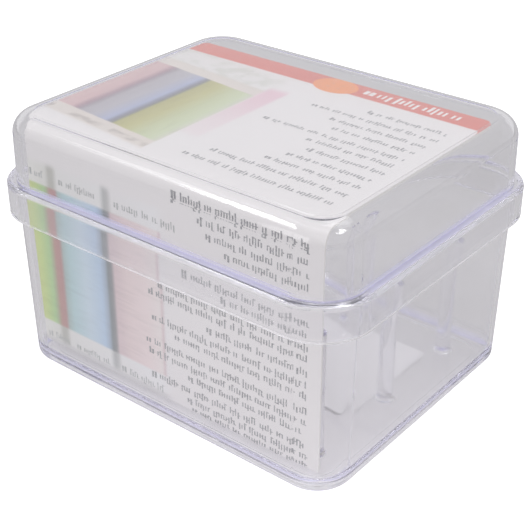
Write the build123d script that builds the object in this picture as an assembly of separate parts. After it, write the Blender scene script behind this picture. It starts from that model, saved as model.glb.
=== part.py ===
from build123d import *
import os

# Clear storage box for twelve thread reels.
#
# Millimetres, +Z up. The origin is at the centre of the box's footprint, on the plane it stands on.
# +X runs along the long side, the front long side faces -Y.

# ---- driving dimensions -------------------------------------------------------------------
LID_LENGTH = 110.0          # outer size of the lid's skirt, the widest part of the box
LID_DEPTH = 91.0
BOX_HEIGHT = 70.4
WALL = 1.5                  # moulded wall of both shells
DRAFT_DEG = 1.1             # draft of the upright walls

SKIRT_BOTTOM_Z = 43.7       # open edge of the lid
SHOULDER_Z = 53.2           # top of the step between the skirt and the lid's upper wall
SKIRT_CORNER_R = 13.7
SKIRT_WALL = 1.8
SKIRT_EDGE_R = 0.5          # rounding of the skirt's lower outer edge
SHOULDER_R = 1.4            # rounding of the step's outer edge
LEDGE_THICKNESS = 1.5
STEP_IN = 2.4               # upper wall stands in from the skirt by this much
LID_CORNER_R = 11.5
LID_TOP_FILLET = 5.2        # rounding from the lid's wall to its flat top
TOP_PANEL_MARGIN = 0.25     # the sunk panel starts this far inside the flat
TOP_PANEL_SINK = 0.15

BASE_STEP_IN = 2.6          # the base's rim stands in from the skirt's outer face by this much
BASE_CORNER_R = 10.7
BASE_EDGE_R = 2.2           # rounding of the base's bottom outer edge
BASE_INNER_EDGE_R = 3.0
RIM_EDGE_R = 0.4
FLOOR_TOP_Z = 1.8
FOOT_RECESS = 0.4           # the underside is sunk inside a perimeter foot
FOOT_WIDTH = 5.0

FIT_GAP = 0.06              # gap between two loose pieces that rest on each other

PEG_COLUMNS = 4
PEG_ROWS = 3
PEG_PITCH_X = 25.8
PEG_PITCH_Y = 28.4
PEG_R = 2.0
PEG_TOP_Z = 37.0
PEG_TIP_CHAMFER = 0.6
PEG_FLARE = 0.6             # the foot of each peg widens into the floor by this much

CARD_THICKNESS = 0.45
CARD_WIDTH = 93.9
CARD_CENTRE_X = -1.75       # the loose card sits a little to the left
CARD_FRONT_Y = -36.2        # front face of the front panel
CARD_BACK_Y = 33.3
CARD_FOLD_R = 5.0           # the board is bent over softly, not creased
CARD_CORNER_R = 1.5
CARD_FOOTROOM = 1.6         # its lower corners stand on the tray's inner rounding
CARD_HEADROOM = 1.0         # its corners meet the lid's inner rounding before the panel meets the ceiling

LABEL_LENGTH = 71.4
LABEL_DEPTH = 36.0
LABEL_CENTRE_Y = 6.6
LABEL_THICKNESS = 0.15
LABEL_CORNER_R = 1.5

# ---- sizes that follow --------------------------------------------------------------------
LEDGE_UNDERSIDE_Z = SHOULDER_Z - LEDGE_THICKNESS
RIM_Z = LEDGE_UNDERSIDE_Z - FIT_GAP
LID_CEILING_Z = BOX_HEIGHT - TOP_PANEL_SINK - WALL
CARD_BOTTOM_Z = FLOOR_TOP_Z + CARD_FOOTROOM
CARD_TOP_Z = LID_CEILING_Z - CARD_HEADROOM


def tapered_block(length, depth, radius, z_wide, z_narrow, taper=DRAFT_DEG):
    """Block with rounded upright corners, widest at z_wide and tapering towards z_narrow."""
    outline = RectangleRounded(length, depth, radius)
    height = abs(z_narrow - z_wide)
    block = extrude(outline, amount=height, taper=taper)
    if z_narrow < z_wide:
        block = Rot(X=180) * block
    return Pos(0, 0, z_wide) * block


def edges_at(part, z):
    """All edges that lie in the level plane at height z."""
    return [edge for edge in part.edges() if abs(edge.bounding_box().min.Z - z) < 1e-4
            and abs(edge.bounding_box().max.Z - z) < 1e-4]


def base_tray():
    """Deep open tray with drafted walls, a sunk underside and a grid of pegs, one for each reel."""
    length = LID_LENGTH - 2 * BASE_STEP_IN
    depth = LID_DEPTH - 2 * BASE_STEP_IN
    outside = tapered_block(length, depth, BASE_CORNER_R, RIM_Z, 0)
    outside = fillet(edges_at(outside, 0), BASE_EDGE_R)
    outside = fillet(edges_at(outside, RIM_Z), RIM_EDGE_R)
    inside = tapered_block(length - 2 * WALL, depth - 2 * WALL, BASE_CORNER_R - WALL, RIM_Z, FLOOR_TOP_Z)
    inside = fillet(edges_at(inside, FLOOR_TOP_Z), BASE_INNER_EDGE_R)
    foot_length = length - 2 * (WALL + FOOT_WIDTH)
    foot_depth = depth - 2 * (WALL + FOOT_WIDTH)
    recess = extrude(RectangleRounded(foot_length, foot_depth, BASE_CORNER_R - FOOT_WIDTH), FOOT_RECESS)
    pegs = [spot * peg() for spot in GridLocations(PEG_PITCH_X, PEG_PITCH_Y, PEG_COLUMNS, PEG_ROWS)]
    return outside - inside - recess + pegs


def lid():
    """Cover with a sunk flat top, drafted upper walls, a ledge and a wider skirt."""
    length = LID_LENGTH - 2 * STEP_IN
    depth = LID_DEPTH - 2 * STEP_IN
    upper = tapered_block(length, depth, LID_CORNER_R, LEDGE_UNDERSIDE_Z, BOX_HEIGHT)
    upper = fillet(edges_at(upper, BOX_HEIGHT), LID_TOP_FILLET)
    skirt = Pos(0, 0, SKIRT_BOTTOM_Z) * extrude(
        RectangleRounded(LID_LENGTH, LID_DEPTH, SKIRT_CORNER_R), SHOULDER_Z - SKIRT_BOTTOM_Z)
    skirt = fillet(edges_at(skirt, SHOULDER_Z), SHOULDER_R)
    skirt = fillet(edges_at(skirt, SKIRT_BOTTOM_Z), SKIRT_EDGE_R)
    hollow = tapered_block(length - 2 * WALL, depth - 2 * WALL, LID_CORNER_R - WALL,
                           LEDGE_UNDERSIDE_Z, LID_CEILING_Z)
    hollow = fillet(edges_at(hollow, LID_CEILING_Z), LID_TOP_FILLET - WALL)
    mouth = Pos(0, 0, SKIRT_BOTTOM_Z) * extrude(
        RectangleRounded(LID_LENGTH - 2 * SKIRT_WALL, LID_DEPTH - 2 * SKIRT_WALL,
                         SKIRT_CORNER_R - SKIRT_WALL), LEDGE_UNDERSIDE_Z - SKIRT_BOTTOM_Z)
    return upper + skirt - hollow - mouth - top_panel_recess(upper)


def top_panel_recess(upper):
    """Shallow sunk panel that fills the flat of the lid's top."""
    flat = upper.faces().sort_by(Axis.Z)[-1].bounding_box().size
    panel = RectangleRounded(flat.X - 2 * TOP_PANEL_MARGIN, flat.Y - 2 * TOP_PANEL_MARGIN,
                             LID_CORNER_R - LID_TOP_FILLET)
    return Pos(0, 0, BOX_HEIGHT - TOP_PANEL_SINK) * extrude(panel, 2 * TOP_PANEL_SINK)


def peg():
    """Upright peg with a flared foot and a chamfered tip, standing on the tray's floor."""
    shaft = Cylinder(PEG_R, PEG_TOP_Z - FLOOR_TOP_Z, align=(Align.CENTER, Align.CENTER, Align.MIN))
    shaft = chamfer(shaft.edges().sort_by(Axis.Z)[-1], PEG_TIP_CHAMFER)
    foot = Cone(PEG_R + PEG_FLARE, PEG_R, PEG_FLARE, align=(Align.CENTER, Align.CENTER, Align.MIN))
    return Pos(0, 0, FLOOR_TOP_Z) * (shaft + foot)


def card_block(inset):
    """Solid under the card, shrunk by inset at the front and on top, with the soft fold's rounding."""
    depth = CARD_BACK_Y - CARD_FRONT_Y
    height = CARD_TOP_Z - CARD_BOTTOM_Z - inset
    block = Box(CARD_WIDTH + inset, depth, height, align=(Align.CENTER, Align.MIN, Align.MIN))
    fold = block.edges().filter_by(Axis.X).group_by(Axis.Z)[-1].sort_by(Axis.Y)[0]
    block = fillet(fold, CARD_FOLD_R - inset)
    return Pos(CARD_CENTRE_X, CARD_FRONT_Y + inset, CARD_BOTTOM_Z) * block


def display_card():
    """One folded board: a panel under the lid's top and a panel behind the front wall."""
    card = card_block(0) - card_block(CARD_THICKNESS)
    free_corners = card.edges().filter_by(Axis.Z).group_by(Axis.Y)[-1]
    return fillet(free_corners, CARD_CORNER_R)


def base_label():
    """Plain adhesive label in the sunk underside, stuck to the floor."""
    label = extrude(RectangleRounded(LABEL_LENGTH, LABEL_DEPTH, LABEL_CORNER_R), LABEL_THICKNESS)
    return Pos(0, LABEL_CENTRE_Y, FOOT_RECESS - LABEL_THICKNESS) * label


os.makedirs("parts", exist_ok=True)
pieces = {
    "base_tray": base_tray(),
    "base_label": base_label(),
    "display_card": display_card(),
    "lid": lid(),
}
for node, shape in pieces.items():
    export_step(shape, f"parts/{node}.step")
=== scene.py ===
import math
import random

import bmesh
import bpy
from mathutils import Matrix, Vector


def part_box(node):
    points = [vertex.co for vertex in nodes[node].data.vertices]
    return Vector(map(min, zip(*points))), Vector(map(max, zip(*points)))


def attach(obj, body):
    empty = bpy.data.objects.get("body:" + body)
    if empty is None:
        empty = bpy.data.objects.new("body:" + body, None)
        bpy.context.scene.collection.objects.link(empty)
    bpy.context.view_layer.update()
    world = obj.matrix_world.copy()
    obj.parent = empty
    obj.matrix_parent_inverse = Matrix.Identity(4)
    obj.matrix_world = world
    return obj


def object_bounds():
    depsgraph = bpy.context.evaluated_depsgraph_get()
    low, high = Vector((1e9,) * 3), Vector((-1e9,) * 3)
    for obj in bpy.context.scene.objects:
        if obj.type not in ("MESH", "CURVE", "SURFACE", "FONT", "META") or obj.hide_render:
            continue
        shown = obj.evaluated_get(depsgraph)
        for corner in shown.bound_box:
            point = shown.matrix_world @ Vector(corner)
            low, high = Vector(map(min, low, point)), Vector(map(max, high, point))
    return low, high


# Looks of the clear thread reel box: crystal plastic, printed card, paper label, soft studio light.
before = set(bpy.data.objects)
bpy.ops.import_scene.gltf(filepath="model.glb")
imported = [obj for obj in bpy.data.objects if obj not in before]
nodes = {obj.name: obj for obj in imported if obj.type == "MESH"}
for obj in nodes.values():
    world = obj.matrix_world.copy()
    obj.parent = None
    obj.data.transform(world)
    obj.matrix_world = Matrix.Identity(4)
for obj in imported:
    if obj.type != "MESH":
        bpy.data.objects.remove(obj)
cad_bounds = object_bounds()

MM = 0.001


def add_object(name, data):
    """New object of this name, in the scene."""
    obj = bpy.data.objects.new(name, data)
    bpy.context.scene.collection.objects.link(obj)
    return obj


# ---- node trees -------------------------------------------------------------------------------
class Field:
    """A number worked out at each point of a surface, with ordinary arithmetic."""

    def __init__(self, tree, socket):
        self.tree = tree
        self.socket = socket

    def _math(self, operation, *others):
        node = self.tree.nodes.new("ShaderNodeMath")
        node.operation = operation
        for slot, value in enumerate((self, *others)):
            if isinstance(value, Field):
                self.tree.links.new(value.socket, node.inputs[slot])
            else:
                node.inputs[slot].default_value = value
        return Field(self.tree, node.outputs[0])

    def __add__(self, other):
        return self._math("ADD", other)

    def __sub__(self, other):
        return self._math("SUBTRACT", other)

    def __mul__(self, other):
        return self._math("MULTIPLY", other)

    def __truediv__(self, other):
        return self._math("DIVIDE", other)

    def most(self, other):
        return self._math("MAXIMUM", other)

    def power(self, other):
        return self._math("POWER", other)

    def opposite(self):
        """One minus the field."""
        return self * -1.0 + 1.0

    def rise(self, at, soft):
        """0 below at, 1 above it, over a soft step."""
        node = self.tree.nodes.new("ShaderNodeMapRange")
        node.interpolation_type = "SMOOTHSTEP"
        node.inputs["From Min"].default_value = at - soft
        node.inputs["From Max"].default_value = at + soft
        self.tree.links.new(self.socket, node.inputs["Value"])
        return Field(self.tree, node.outputs["Result"])

    def within(self, low, high, soft=0.15):
        """1 between low and high, with soft ends."""
        return self.rise(low, soft) * self.rise(high, soft).opposite()

    def ramp(self, low, high, stops):
        """Colour socket that goes through stops, a list of (position, colour), from low to high."""
        node = self.tree.nodes.new("ShaderNodeValToRGB")
        elements = node.color_ramp.elements
        while len(elements) < len(stops):
            elements.new(1.0)
        for element, (position, colour) in zip(elements, stops):
            element.position = (position - low) / (high - low)
            element.color = (*colour, 1.0)
        span = (self - low) / (high - low)
        self.tree.links.new(span.socket, node.inputs["Fac"])
        return node.outputs["Color"]


def new_material(name):
    """Empty material: (material, tree, Principled node, output node)."""
    material = bpy.data.materials.new(name)
    material.use_nodes = True
    tree = material.node_tree
    return material, tree, tree.nodes["Principled BSDF"], tree.nodes["Material Output"]


def place_fields(tree):
    """The point on the surface as three fields in millimetres, in the box's own frame."""
    coordinates = tree.nodes.new("ShaderNodeTexCoord")
    parts = tree.nodes.new("ShaderNodeSeparateXYZ")
    tree.links.new(coordinates.outputs["Object"], parts.inputs[0])
    return [Field(tree, parts.outputs[axis]) * (1 / MM) for axis in "XYZ"]


def noise_field(tree, scale, detail=3.0, stretch=(1.0, 1.0, 1.0)):
    """Noise from 0 to 1 in object space. scale is in features per metre."""
    coordinates = tree.nodes.new("ShaderNodeTexCoord")
    mapping = tree.nodes.new("ShaderNodeMapping")
    mapping.inputs["Scale"].default_value = stretch
    noise = tree.nodes.new("ShaderNodeTexNoise")
    noise.inputs["Scale"].default_value = scale
    noise.inputs["Detail"].default_value = detail
    tree.links.new(coordinates.outputs["Object"], mapping.inputs["Vector"])
    tree.links.new(mapping.outputs["Vector"], noise.inputs["Vector"])
    return Field(tree, noise.outputs["Fac"])


def blend_colour(tree, mask, under, over):
    """Colour socket: over on under, by mask. Each colour is a socket or a tuple."""
    node = tree.nodes.new("ShaderNodeMix")
    node.data_type = "RGBA"
    for name, value in (("A", under), ("B", over)):
        socket = [s for s in node.inputs if s.name == name and s.type == "RGBA"][0]
        if isinstance(value, tuple):
            socket.default_value = (*value, 1.0)
        else:
            tree.links.new(value, socket)
    factor = [s for s in node.inputs if s.name == "Factor" and s.type == "VALUE"][0]
    tree.links.new(mask.socket, factor)
    return [s for s in node.outputs if s.type == "RGBA"][0]


def mix_shaders(tree, factor, first, second, output):
    """Sends a mix of two shaders to the output's surface: all first at 0 and all second at 1."""
    mix = tree.nodes.new("ShaderNodeMixShader")
    tree.links.new(factor.socket, mix.inputs["Fac"])
    tree.links.new(first.outputs[0], mix.inputs[1])
    tree.links.new(second.outputs[0], mix.inputs[2])
    tree.links.new(mix.outputs[0], output.inputs["Surface"])


def ray_field(tree, *kinds):
    """1 for rays of one of these kinds, such as "Is Camera Ray", and 0 for the others."""
    path = tree.nodes.new("ShaderNodeLightPath")
    found = Field(tree, path.outputs[kinds[0]])
    for kind in kinds[1:]:
        found = found.most(Field(tree, path.outputs[kind]))
    return found


def add_bump(tree, shader, height, distance, strength):
    """Bump of the given depth in metres on a shader."""
    bump = tree.nodes.new("ShaderNodeBump")
    bump.inputs["Distance"].default_value = distance
    bump.inputs["Strength"].default_value = strength
    tree.links.new(height.socket, bump.inputs["Height"])
    tree.links.new(bump.outputs["Normal"], shader.inputs["Normal"])


# ---- clear plastic ----------------------------------------------------------------------------
PLASTIC_TINT = (0.985, 0.984, 0.987)
PLASTIC_IOR = 1.57
EDGE_TINT = (0.74, 0.72, 1.0)          # what is left of light that runs a long way inside a wall
EDGE_DENSITY = 14.0                    # of that absorption, per metre
PAINTED_EDGE_LAVENDER = (0.74, 0.73, 0.98)          # painted lavender light on the thick edges, standing in for light seen along the plastic there
# places on the lid and the tray, in mm
LEDGE_Z = 53.05                        # flat of the lid's shoulder
LEDGE_DEPTH = 0.5
SHOULDER_LOW_Z = 51.8                  # where the rounding under that flat begins
LIP_Z = 44.15                          # top of the rounding along the skirt's lower edge
CORNER_R = 13.7                        # of the skirt in plan
SOLE_Z = 0.9                           # top of the tray's rounded lowest edge
FOOT_Z = 3.2                           # top of the thick bottom outline above it
FOOT_WIDTH = 4.5
RIM_DEPTH = 0.3                        # of the tray's rim
# how strongly light is painted on the edges, as lavender or white: 0 is clear and 1 is opaque
LEDGE_PAINTED_LIGHT = 0.35                      # along the straight sides, added to the next one
LEDGE_CORNER_PAINTED_LIGHT = 0.08
SHOULDER_PAINTED_HIGHLIGHT = 0.25
SHOULDER_CORNER_PAINTED_HIGHLIGHT = 0.05
LIP_PAINTED_HIGHLIGHT = 0.26
SOLE_PAINTED_LIGHT = 0.5
FOOT_PAINTED_LIGHT = 0.34
RIM_PAINTED_LIGHT = 0.2


def beyond(x, y, half_x, half_y, soft):
    """Two fields: 1 where x, and where y, is further than a half size from the box's middle."""
    return (x * x).power(0.5).rise(half_x, soft), (y * y).power(0.5).rise(half_y, soft)


def half_sizes(node):
    """Half of a node's length and depth, in mm."""
    low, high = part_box(node)
    return (high.x - low.x) / 2 / MM, (high.y - low.y) / 2 / MM


def lid_painted_edges(x, y, z):
    """The lid's edges with painted light: (painted lavender field, painted white highlight field)."""
    half_x, half_y = half_sizes("lid")
    past_x, past_y = beyond(x, y, half_x - CORNER_R, half_y - CORNER_R, 3.0)
    straight = (past_x * past_y).opposite()
    ledge_painted_light = straight * LEDGE_PAINTED_LIGHT + LEDGE_CORNER_PAINTED_LIGHT
    shoulder_painted_highlight = straight * SHOULDER_PAINTED_HIGHLIGHT + SHOULDER_CORNER_PAINTED_HIGHLIGHT
    # painted lavender light along the ledge, painted white highlights along the shoulder and the skirt's
    # lower lip
    ledge = z.within(LEDGE_Z, LEDGE_Z + LEDGE_DEPTH, 0.1) * ledge_painted_light
    shoulder = z.within(SHOULDER_LOW_Z, LEDGE_Z) * shoulder_painted_highlight
    lip = z.rise(LIP_Z, 0.25).opposite() * LIP_PAINTED_HIGHLIGHT
    return ledge, shoulder.most(lip)


def tray_painted_edges(x, y, z):
    """The tray's edges with painted light: (painted lavender field, painted white field)."""
    half_x, half_y = half_sizes("base_tray")
    past_x, past_y = beyond(x, y, half_x - FOOT_WIDTH, half_y - FOOT_WIDTH, 0.8)
    outline = past_x.most(past_y)
    # painted lavender light along the bottom edge, painted white light above it and along the rim
    sole = outline * z.rise(SOLE_Z, 0.4).opposite() * SOLE_PAINTED_LIGHT
    foot = outline * z.rise(FOOT_Z, 1.2).opposite() * FOOT_PAINTED_LIGHT
    rim = z.rise(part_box("base_tray")[1].z / MM - RIM_DEPTH, 0.1) * RIM_PAINTED_LIGHT
    return sole, foot.most(rim)


def clear_plastic(name, edges):
    """Crystal polystyrene: glass-like, a little wavy from the mould, violet through its edges from
    absorption, with lavender light and white highlights painted on the thick edges.

    Shadow and diffuse rays go straight through, so that the walls let the lamps' light in."""
    material, tree, glass, output = new_material(name)
    violet, white = edges(*place_fields(tree))
    # painted light on the edges: a lavender colour, and less transmission where the edge fields are high
    tint = blend_colour(tree, violet * 2.0, PLASTIC_TINT, PAINTED_EDGE_LAVENDER)
    tree.links.new(tint, glass.inputs["Base Color"])
    painted_edge_light = violet.most(white)
    tree.links.new(painted_edge_light.opposite().socket, glass.inputs["Transmission Weight"])
    glass.inputs["IOR"].default_value = PLASTIC_IOR
    haze = noise_field(tree, 90.0) * 0.05 + 0.03 + painted_edge_light * 0.2
    tree.links.new(haze.socket, glass.inputs["Roughness"])
    add_bump(tree, glass, noise_field(tree, 45.0, 2.0), 0.0003, 0.12)
    straight = tree.nodes.new("ShaderNodeBsdfTransparent")
    straight.inputs["Color"].default_value = (*PLASTIC_TINT, 1.0)
    mix_shaders(tree, ray_field(tree, "Is Shadow Ray", "Is Diffuse Ray"), glass, straight, output)
    absorb = tree.nodes.new("ShaderNodeVolumeAbsorption")
    absorb.inputs["Color"].default_value = (*EDGE_TINT, 1.0)
    absorb.inputs["Density"].default_value = EDGE_DENSITY
    tree.links.new(absorb.outputs[0], output.inputs["Volume"])
    return material


# ---- printed card -----------------------------------------------------------------------------
card_low, card_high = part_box("display_card")
CARD_WHITE = (0.85, 0.83, 0.82)
CARD_BACK = (0.78, 0.76, 0.72)         # the board's plain inner side
FOLD_R = 5.0                           # outer radius of the board's bend, mm
ON_TOP_DEPTH = 1.2                     # the top panel's print begins this far down the fold, mm
RED_BAND = (0.72, 0.16, 0.12)
BAND_WIDTH = 7.2                       # mm in from the card's back edge
ORANGE = (0.93, 0.30, 0.08)
BUTTON_SHADE = (0.72, 0.28, 0.12)      # of the button's ring and holes
BUTTON_MIDDLE = (1.0, 28.7)            # x and y, mm
BUTTON_REACH = (6.6, 4.8)              # half sizes, mm
# parts of the button, as shares of its half sizes
BUTTON_RING = (0.72, 0.80)
HOLE_OFFSET = 0.24
HOLE_R = 0.11

PICTURE_REACH = 50.0                   # the colour lists below run from -50 to 50 mm
# picture of standing reels on the front panel: colour against x, in mm
STANDING = [
    (-49.0, (0.62, 0.68, 0.30)), (-46.0, (0.56, 0.68, 0.26)), (-42.5, (0.42, 0.62, 0.30)),
    (-41.3, (0.40, 0.46, 0.28)), (-40.2, (0.48, 0.28, 0.25)), (-38.2, (0.47, 0.27, 0.26)),
    (-37.2, (0.40, 0.50, 0.48)), (-35.0, (0.45, 0.62, 0.64)), (-29.0, (0.56, 0.68, 0.76)),
    (-23.5, (0.47, 0.60, 0.75)), (-21.6, (0.36, 0.43, 0.52)), (-20.8, (0.22, 0.25, 0.26)),
    (-19.4, (0.28, 0.28, 0.29)), (-18.4, (0.66, 0.54, 0.55)), (-14.0, (0.75, 0.63, 0.62)),
    (-8.0, (0.79, 0.68, 0.67)), (-3.2, (0.79, 0.73, 0.71)), (-2.3, (0.66, 0.53, 0.54)),
    (-1.4, (0.78, 0.76, 0.76)),
]
STANDING_LIGHT = 1.08                  # these are printed this much lighter
STANDING_Z = (10.0, 51.3)
STANDING_RIGHT = -1.0                  # where the picture fades into the white panel
# the same reels' ends, above and below their thread
RIMS = [
    (-49.0, (0.74, 0.74, 0.70)), (-41.6, (0.68, 0.68, 0.64)), (-40.0, (0.46, 0.46, 0.42)),
    (-38.6, (0.48, 0.48, 0.44)), (-37.0, (0.72, 0.72, 0.70)), (-22.0, (0.74, 0.74, 0.73)),
    (-20.4, (0.44, 0.45, 0.44)), (-19.2, (0.50, 0.50, 0.49)), (-17.8, (0.74, 0.73, 0.72)),
    (-4.0, (0.78, 0.77, 0.76)),
]
RIMS_LIGHT = 1.13
LIGHTEST = 0.86                        # the lightest that the board can look
PICTURE_END = (3.0, CARD_WHITE)        # both fade to white here
RIMS_Z = (4.6, 57.5)
LOW_BAND_GREY = (0.50, 0.51, 0.50)            # grey band along the bottom of the front panel's left part, under the standing reels
# picture of lying reels on the top panel: colour against x, in mm
LYING = [
    (-49.0, (0.70, 0.48, 0.47)), (-43.6, (0.64, 0.43, 0.44)), (-41.6, (0.36, 0.22, 0.28)),
    (-40.2, (0.32, 0.28, 0.33)), (-39.0, (0.43, 0.41, 0.45)), (-35.0, (0.46, 0.45, 0.50)),
    (-30.4, (0.38, 0.43, 0.62)), (-28.8, (0.20, 0.21, 0.29)), (-27.8, (0.18, 0.19, 0.17)),
    (-26.9, (0.44, 0.42, 0.14)), (-22.5, (0.52, 0.51, 0.20)), (-18.0, (0.56, 0.62, 0.36)),
    (-13.5, (0.62, 0.70, 0.46)), (-11.6, (0.66, 0.68, 0.56)),
]
LYING_RIGHT = -11.4
LYING_Y = (-28.4, 8.7)                 # along their own slightly turned direction
LYING_TURN = 0.09                      # slope of that direction
LYING_ENDS = (4.8, 4.5)                # how far the ends stand out in front of and behind the thread
FAR_REEL_X = (-11.3, -5.2)             # the pink reel behind them
FAR_REEL_Y = (-19.0, 16.5)
FAR_REEL = (0.80, 0.48, 0.58)
CREAM_DARK = (0.66, 0.62, 0.56)        # the lying reels' ends
CREAM_LIGHT = (0.80, 0.70, 0.62)
BACK_MARKS = (0.46, 0.50, 0.38)        # mottled print behind and in front of the lying reels
FRONT_MARKS = (0.40, 0.36, 0.33)


def printed_stops(stops, light):
    """A picture's colours made lighter, with the white that they end in."""
    return [(x, tuple(min(part * light, LIGHTEST) for part in colour)) for x, colour in stops] + [PICTURE_END]


def thread_shade(tree, stretch):
    """Fine dark and light lines of wound thread."""
    return noise_field(tree, 900.0, 2.0, stretch) * 0.35 + 0.82


def front_print(tree, x, z, colour):
    """The reels standing in a row on the front panel, over the colour given."""
    left_part = x.rise(STANDING_RIGHT, 2.5).opposite()
    threads = x.ramp(-PICTURE_REACH, PICTURE_REACH, printed_stops(STANDING, STANDING_LIGHT))
    wound = blend_colour(tree, thread_shade(tree, (0.15, 1.0, 1.6)), (0.0, 0.0, 0.0), threads)
    rims = x.ramp(-PICTURE_REACH, PICTURE_REACH, printed_stops(RIMS, RIMS_LIGHT))
    colour = blend_colour(tree, z.within(*RIMS_Z, 1.2) * left_part, colour, rims)
    colour = blend_colour(tree, z.within(*STANDING_Z, 0.5) * left_part, colour, wound)
    low_band = z.rise(RIMS_Z[0], 0.5).opposite() * left_part * 0.45
    return blend_colour(tree, low_band, colour, LOW_BAND_GREY)


def top_print(tree, x, y, colour):
    """The lying reels on the top panel, over the colour given."""
    lying = x.ramp(-PICTURE_REACH, PICTURE_REACH, LYING)
    wound = blend_colour(tree, thread_shade(tree, (1.6, 0.15, 1.0)), (0.0, 0.0, 0.0), lying)
    wobble = noise_field(tree, 120.0, 4.0) - 0.5
    along = x * LYING_TURN + y + wobble * 0.8
    low, high = LYING_Y
    left_part = x.rise(LYING_RIGHT, 0.5).opposite()
    cream = blend_colour(tree, noise_field(tree, 260.0, 3.0), CREAM_DARK, CREAM_LIGHT)
    ends = along.within(low - LYING_ENDS[0], high + LYING_ENDS[1], 0.8) * left_part
    colour = blend_colour(tree, ends * 0.8, colour, cream)
    far_x = x.within(*FAR_REEL_X, 1.0)
    far_y = y.within(*FAR_REEL_Y, 2.0) * (y.rise(0.0, 18.0) * 0.55 + 0.2)
    colour = blend_colour(tree, far_x * far_y, colour, FAR_REEL)
    colour = blend_colour(tree, along.within(low, high, 0.4) * left_part, colour, wound)
    marks = noise_field(tree, 260.0, 4.0).rise(0.52, 0.12)
    corner = along.within(high + 4.0, high + 14.0, 2.0) * x.rise(-12.0, 4.0).opposite()
    colour = blend_colour(tree, corner * (marks * 0.3 + 0.1), colour, BACK_MARKS)
    low_marks = along.within(low - 4.0, low - 2.0, 0.6) * left_part
    return blend_colour(tree, low_marks * marks * 0.7, colour, FRONT_MARKS)


def band_print(tree, x, y, colour):
    """The red band along the back edge and the orange four-hole button on it."""
    band = y.rise(card_high.y / MM - BAND_WIDTH, 0.25)
    colour = blend_colour(tree, band, colour, RED_BAND)
    across = (x - BUTTON_MIDDLE[0]) / BUTTON_REACH[0]
    along = (y - BUTTON_MIDDLE[1]) / BUTTON_REACH[1]
    reach = (across * across + along * along).power(0.5)
    colour = blend_colour(tree, reach.rise(1.0, 0.04).opposite(), colour, ORANGE)
    colour = blend_colour(tree, reach.within(*BUTTON_RING, 0.03) * 0.35, colour, BUTTON_SHADE)
    hole_x = (across * across).power(0.5) - HOLE_OFFSET
    hole_y = (along * along).power(0.5) - HOLE_OFFSET
    holes = (hole_x * hole_x + hole_y * hole_y).power(0.5).rise(HOLE_R, 0.03).opposite()
    return blend_colour(tree, holes * 0.6, colour, BUTTON_SHADE)


def outer_side(y, z):
    """1 on the board's printed side, which faces out of the box, and 0 on its inner side."""
    forward = (y * -1.0 + (card_low.y / MM + FOLD_R)).most(0.0)
    upward = (z - (card_high.z / MM - FOLD_R)).most(0.0)
    return (forward * forward + upward * upward).power(0.5).rise(FOLD_R - 0.2, 0.1)


def printed_card(name):
    """Coated board with the two reel pictures, a red band and a button on it."""
    material, tree, paper, _ = new_material(name)
    x, y, z = place_fields(tree)
    front = front_print(tree, x, z, CARD_WHITE)
    top = band_print(tree, x, y, top_print(tree, x, y, CARD_WHITE))
    on_top = z.rise(card_high.z / MM - ON_TOP_DEPTH, 0.4)
    colour = blend_colour(tree, on_top, front, top)
    colour = blend_colour(tree, outer_side(y, z), CARD_BACK, colour)
    fibre = noise_field(tree, 1500.0, 4.0)
    colour = blend_colour(tree, fibre * 0.06, colour, (0.5, 0.5, 0.5))
    tree.links.new(colour, paper.inputs["Base Color"])
    sheen = fibre * 0.15 + 0.32
    tree.links.new(sheen.socket, paper.inputs["Roughness"])
    paper.inputs["Coat Weight"].default_value = 0.15
    add_bump(tree, paper, fibre, 0.00002, 0.3)
    return material


def paper_label(name):
    """Plain white label with a faint grain."""
    material, tree, paper, _ = new_material(name)
    grain = noise_field(tree, 1200.0, 4.0)
    colour = blend_colour(tree, grain, (0.93, 0.92, 0.93), (0.98, 0.98, 0.98))
    tree.links.new(colour, paper.inputs["Base Color"])
    paper.inputs["Roughness"].default_value = 0.6
    add_bump(tree, paper, grain, 0.00003, 0.3)
    return material


def ink(name, dark, light):
    """Printing ink with uneven cover."""
    material, tree, shader, _ = new_material(name)
    cover = noise_field(tree, 1400.0, 3.0)
    colour = blend_colour(tree, cover.rise(0.52, 0.2), dark, light)
    tree.links.new(colour, shader.inputs["Base Color"])
    shader.inputs["Roughness"].default_value = 0.5
    return material


def dress(obj, material):
    """Puts one material on every slot of an object."""
    if not obj.material_slots:
        obj.data.materials.append(material)
    for material_slot in obj.material_slots:
        material_slot.material = material


dress(nodes["base_tray"], clear_plastic("tray_plastic", tray_painted_edges))
dress(nodes["lid"], clear_plastic("lid_plastic", lid_painted_edges))
dress(nodes["display_card"], printed_card("card_print"))
dress(nodes["base_label"], paper_label("label_paper"))

# ---- greeked text on the card -----------------------------------------------------------------
INK_THICKNESS = 0.02 * MM
STROKE = 0.34                          # width of one mark, mm
PITCH = 0.80                           # from one mark to the next, mm
BAR = 0.22                             # thickness of the short bars that join marks, mm
JOINED = 0.55                          # share of the marks with such a bar

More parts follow.
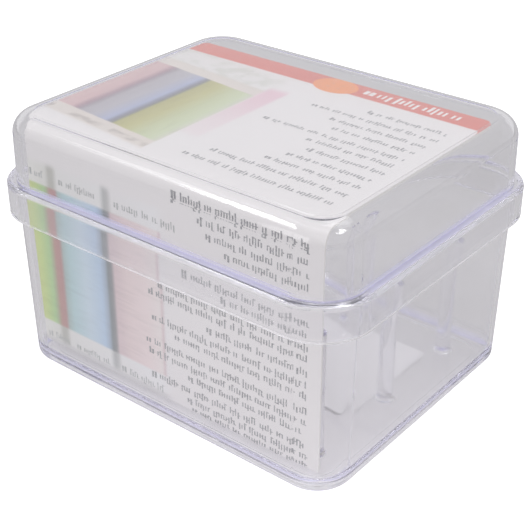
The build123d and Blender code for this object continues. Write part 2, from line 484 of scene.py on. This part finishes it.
# a panel's lines of print, level at the right: (left end, middle of the line, size, weight), in mm
FRONT_RIGHT = 41.8
FRONT_LINES = [
    (2.0, 62.0, 1.8, 1.2), (10.0, 58.4, 1.4, 1.0), (12.5, 55.1, 1.4, 1.0), (18.0, 51.9, 1.4, 1.0),
    (5.5, 43.4, 1.4, 1.0), (17.5, 40.4, 1.4, 1.0),
    (-3.5, 36.4, 1.4, 1.0), (-6.8, 33.6, 1.4, 1.0),
    (12.0, 29.9, 1.4, 1.0), (-6.0, 26.4, 1.4, 1.0), (1.5, 23.4, 1.4, 1.0),
    (-8.3, 19.1, 1.4, 1.0), (-7.5, 16.0, 1.4, 1.0), (5.5, 13.0, 1.4, 1.0),
    (-7.0, 9.2, 1.4, 1.0), (5.0, 6.2, 1.4, 1.0), (6.5, 3.9, 0.9, 1.0),
]
TOP_RIGHT = 41.2
TOP_LINES = [
    (17.9, 19.2, 1.2, 1.1), (3.9, 14.5, 1.2, 1.1), (12.9, 9.9, 1.2, 1.1), (16.9, 5.3, 1.2, 1.1),
    (-0.6, 0.5, 1.2, 1.1), (15.9, -3.7, 1.2, 1.1), (19.4, -8.3, 1.2, 1.1), (17.4, -13.1, 1.2, 1.1),
    (14.4, -17.7, 1.2, 1.1), (1.9, -22.5, 1.3, 1.1), (-2.1, -27.7, 1.3, 1.1),
]
# short faint marks on the ends of the standing reels: (left, right, middle of the line), in mm
RIM_MARKS = [
    (-48.0, -42.0, 54.0), (-36.5, -22.5, 54.0), (-17.0, 3.0, 54.0),
    (-46.0, -38.0, 5.6), (-35.0, -22.5, 5.6), (-18.0, -3.0, 5.6),
]
BAND_MARKS = (9.6, 40.0, 29.9)         # the same three for the marks on the red band


def box_faces(mesh, corner, across, up, out):
    """Adds a closed block to a bmesh from one corner and three edge vectors."""
    points = [corner + across * i + up * j + out * k for k in (0, 1) for j in (0, 1) for i in (0, 1)]
    verts = [mesh.verts.new(point) for point in points]
    for face in ((0, 2, 3, 1), (4, 5, 7, 6), (0, 1, 5, 4), (2, 6, 7, 3), (0, 4, 6, 2), (1, 3, 7, 5)):
        mesh.faces.new([verts[i] for i in face])


def greeked_line(mesh, chance, left, right, middle, size, weight, place, across, up, out):
    """Rows of plain strokes in word-like groups, which stand for a line of small print."""
    x = left
    lead = True
    while x < right - PITCH:
        count = 2 if lead else chance.randint(2, 9)
        bold = 1.6 if lead else 1.0
        for _ in range(count):
            if x > right - STROKE:
                break
            tall = chance.choice((1.0, 1.0, 1.0, 1.45))
            drop = chance.choice((0.0, 0.0, 0.0, 0.35))
            low = middle - size * (0.5 + drop)
            height = size * (tall + drop) * chance.uniform(0.85, 1.0)
            width = STROKE * weight * bold * chance.uniform(0.8, 1.2)
            box_faces(mesh, place(x, low), across * width * MM, up * height * MM, out * INK_THICKNESS)
            if chance.random() < JOINED:
                level = low + height * chance.choice((0.0, 0.45, 0.85))
                box_faces(mesh, place(x + width, level), across * (PITCH - width) * MM,
                          up * BAR * MM, out * INK_THICKNESS)
            x += PITCH * (1.15 if bold > 1 else 1.0) * max(weight * 0.85, 1.0)
        x += PITCH * chance.uniform(0.9, 1.4)
        lead = False


def text_block(name, lines, place, across, up, out, material, seed):
    """One mesh with all the greeked lines of one panel."""
    chance = random.Random(seed)
    mesh = bmesh.new()
    for left, right, middle, size, weight in lines:
        greeked_line(mesh, chance, left, right, middle, size, weight, place, across, up, out)
    data = bpy.data.meshes.new(name)
    mesh.to_mesh(data)
    mesh.free()
    data.materials.append(material)
    obj = add_object(name, data)
    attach(obj, "card")
    return obj


EAST, NORTH, UP = Vector((1, 0, 0)), Vector((0, 1, 0)), Vector((0, 0, 1))
front_y, top_z = card_low.y, card_high.z


def on_front(x, height):
    """Point on the card's front panel."""
    return Vector((x * MM, front_y, height * MM))


def on_top(x, y):
    """Point on the card's top panel."""
    return Vector((x * MM, y * MM, top_z))


def ragged_lines(lines, right):
    """Lines of one panel that all end at the same right edge, as (left, right, middle, size, weight)."""
    return [(left, right, middle, size, weight) for left, middle, size, weight in lines]


grey_ink = ink("grey_ink", (0.25, 0.25, 0.26), (0.42, 0.42, 0.43))
faint_ink = ink("faint_ink", (0.40, 0.41, 0.40), (0.55, 0.56, 0.55))
white_ink = ink("white_ink", (0.85, 0.80, 0.78), (0.93, 0.90, 0.88))
rim_lines = [(left, right, height, 1.4, 1.0) for left, right, height in RIM_MARKS]
band_lines = [(*BAND_MARKS, 2.6, 2.2)]
text_block("front_text", ragged_lines(FRONT_LINES, FRONT_RIGHT), on_front, EAST, UP, -NORTH, grey_ink, 11)
text_block("top_text", ragged_lines(TOP_LINES, TOP_RIGHT), on_top, EAST, NORTH, UP, grey_ink, 12)
text_block("band_text", band_lines, on_top, EAST, NORTH, UP, white_ink, 13)
text_block("rim_text", rim_lines, on_front, EAST, UP, -NORTH, faint_ink, 14)

# ---- studio -----------------------------------------------------------------------------------
box_low, box_high = cad_bounds
middle = (Vector(box_low) + Vector(box_high)) / 2

FLOOR_SIZE = 6.0                       # m
FLOOR_GAP = 0.0002                     # under the box, m
FLOOR_GLOW = 0.45
# painted pool of light on the floor, seen only through and in the plastic
PAINTED_POOL_MIDDLE = (20.0, -50.0)            # where the floor is brightest through the plastic, mm
PAINTED_POOL_REACH = 200.0
# painted pool of light: the floor's shade through the plastic against the distance from there, in mm
PAINTED_POOL_SHADES = [
    (0.0, (0.90, 0.89, 0.90)), (40.0, (0.88, 0.87, 0.88)), (90.0, (0.67, 0.664, 0.67)),
    (150.0, (0.61, 0.604, 0.61)), (200.0, (0.56, 0.555, 0.56)),
]
WORLD_STRENGTH = 0.74
SEEN_EXTRA = 0.5                       # added where the surround is seen directly
# name, direction from the box, distance, width, height, radiance
SOFTBOXES = [
    ("key", (-0.52, -0.41, 0.745), 0.95, 0.09, 0.14, 10.0),
    ("fill", (-0.56, -0.40, 0.73), 0.97, 0.36, 0.16, 2.0),
    ("side", (0.66, 0.05, 0.78), 0.95, 0.20, 0.22, 9.0),
    ("overhead", (0.1, 0.5, 1.0), 1.1, 0.7, 0.5, 1.4),
    ("front", (-0.2, -1.0, 0.35), 1.2, 0.9, 0.5, 1.2),
]


def floor_material():
    """Pale floor, white to the eye and a light grey to what is seen through or in the plastic, with a painted
    pool of light there that is lightest near the box's front.
    """
    material, tree, shader, output = new_material("studio_floor")
    tree.nodes.remove(shader)
    seen = tree.nodes.new("ShaderNodeBsdfDiffuse")
    seen.inputs["Color"].default_value = (0.95, 0.95, 0.95, 1.0)
    glow = tree.nodes.new("ShaderNodeEmission")
    glow.inputs["Strength"].default_value = FLOOR_GLOW
    bright = tree.nodes.new("ShaderNodeAddShader")
    tree.links.new(seen.outputs[0], bright.inputs[0])
    tree.links.new(glow.outputs[0], bright.inputs[1])
    x, y, _ = place_fields(tree)
    from_x, from_y = x - PAINTED_POOL_MIDDLE[0], y - PAINTED_POOL_MIDDLE[1]
    reach = (from_x * from_x + from_y * from_y).power(0.5)
    through = tree.nodes.new("ShaderNodeBsdfDiffuse")
    # painted pool of light: lighter near its middle, greyer further away
    shade = reach.ramp(0.0, PAINTED_POOL_REACH, PAINTED_POOL_SHADES)
    tree.links.new(shade, through.inputs["Color"])
    mix_shaders(tree, ray_field(tree, "Is Camera Ray"), through, bright, output)
    return material


def studio_floor(size):
    """Square floor just under the box."""
    data = bpy.data.meshes.new("studio_floor")
    half = size / 2
    data.from_pydata([(-half, -half, 0), (half, -half, 0), (half, half, 0), (-half, half, 0)], [],
                     [(0, 1, 2, 3)])
    data.materials.append(floor_material())
    obj = add_object("studio_floor", data)
    obj.location.z = box_low[2] - FLOOR_GAP


def softbox(name, direction, distance, width, height, radiance):
    """Rectangular light that faces the box. radiance is how bright it looks in a mirror."""
    light = bpy.data.lights.new(name, "AREA")
    light.shape = "RECTANGLE"
    light.size = width
    light.size_y = height
    light.energy = radiance * width * height * math.pi
    obj = add_object(name, light)
    towards = Vector(direction).normalized()
    obj.location = middle + towards * distance
    obj.rotation_euler = towards.to_track_quat("Z", "Y").to_euler()


def studio_world(strength):
    """Even white surround: brighter where it is seen directly, so that it meets the floor unseen."""
    world = bpy.data.worlds.new("studio")
    world.use_nodes = True
    tree = world.node_tree
    background = tree.nodes["Background"]
    background.inputs["Color"].default_value = (0.99, 0.98, 1.0, 1.0)
    seen = ray_field(tree, "Is Camera Ray") * SEEN_EXTRA + strength
    tree.links.new(seen.socket, background.inputs["Strength"])
    bpy.context.scene.world = world


studio_floor(FLOOR_SIZE)
studio_world(WORLD_STRENGTH)
for settings in SOFTBOXES:
    softbox(*settings)

# ---- camera -----------------------------------------------------------------------------------
AZIMUTH = math.radians(38.82)
ELEVATION = math.radians(29.70)
DISTANCE = 0.31622                     # m
TARGET = Vector((0.00014, -0.00003, 0.02681))
LENS = 80.81                           # mm, on a sensor 36 mm wide
SENSOR = 36.0

camera_data = bpy.data.cameras.new("camera")
camera_data.sensor_width = SENSOR
camera_data.lens = LENS
camera_data.clip_start = 0.01
camera = add_object("camera", camera_data)
back = Vector((math.sin(AZIMUTH) * math.cos(ELEVATION), -math.cos(AZIMUTH) * math.cos(ELEVATION),
               math.sin(ELEVATION)))
camera.location = TARGET + back * DISTANCE
camera.rotation_euler = back.to_track_quat("Z", "Y").to_euler()

scene = bpy.context.scene
scene.camera = camera
scene.view_settings.view_transform = "Standard"
scene.cycles.max_bounces = 40
scene.cycles.transmission_bounces = 40
scene.cycles.transparent_max_bounces = 32
scene.cycles.glossy_bounces = 32
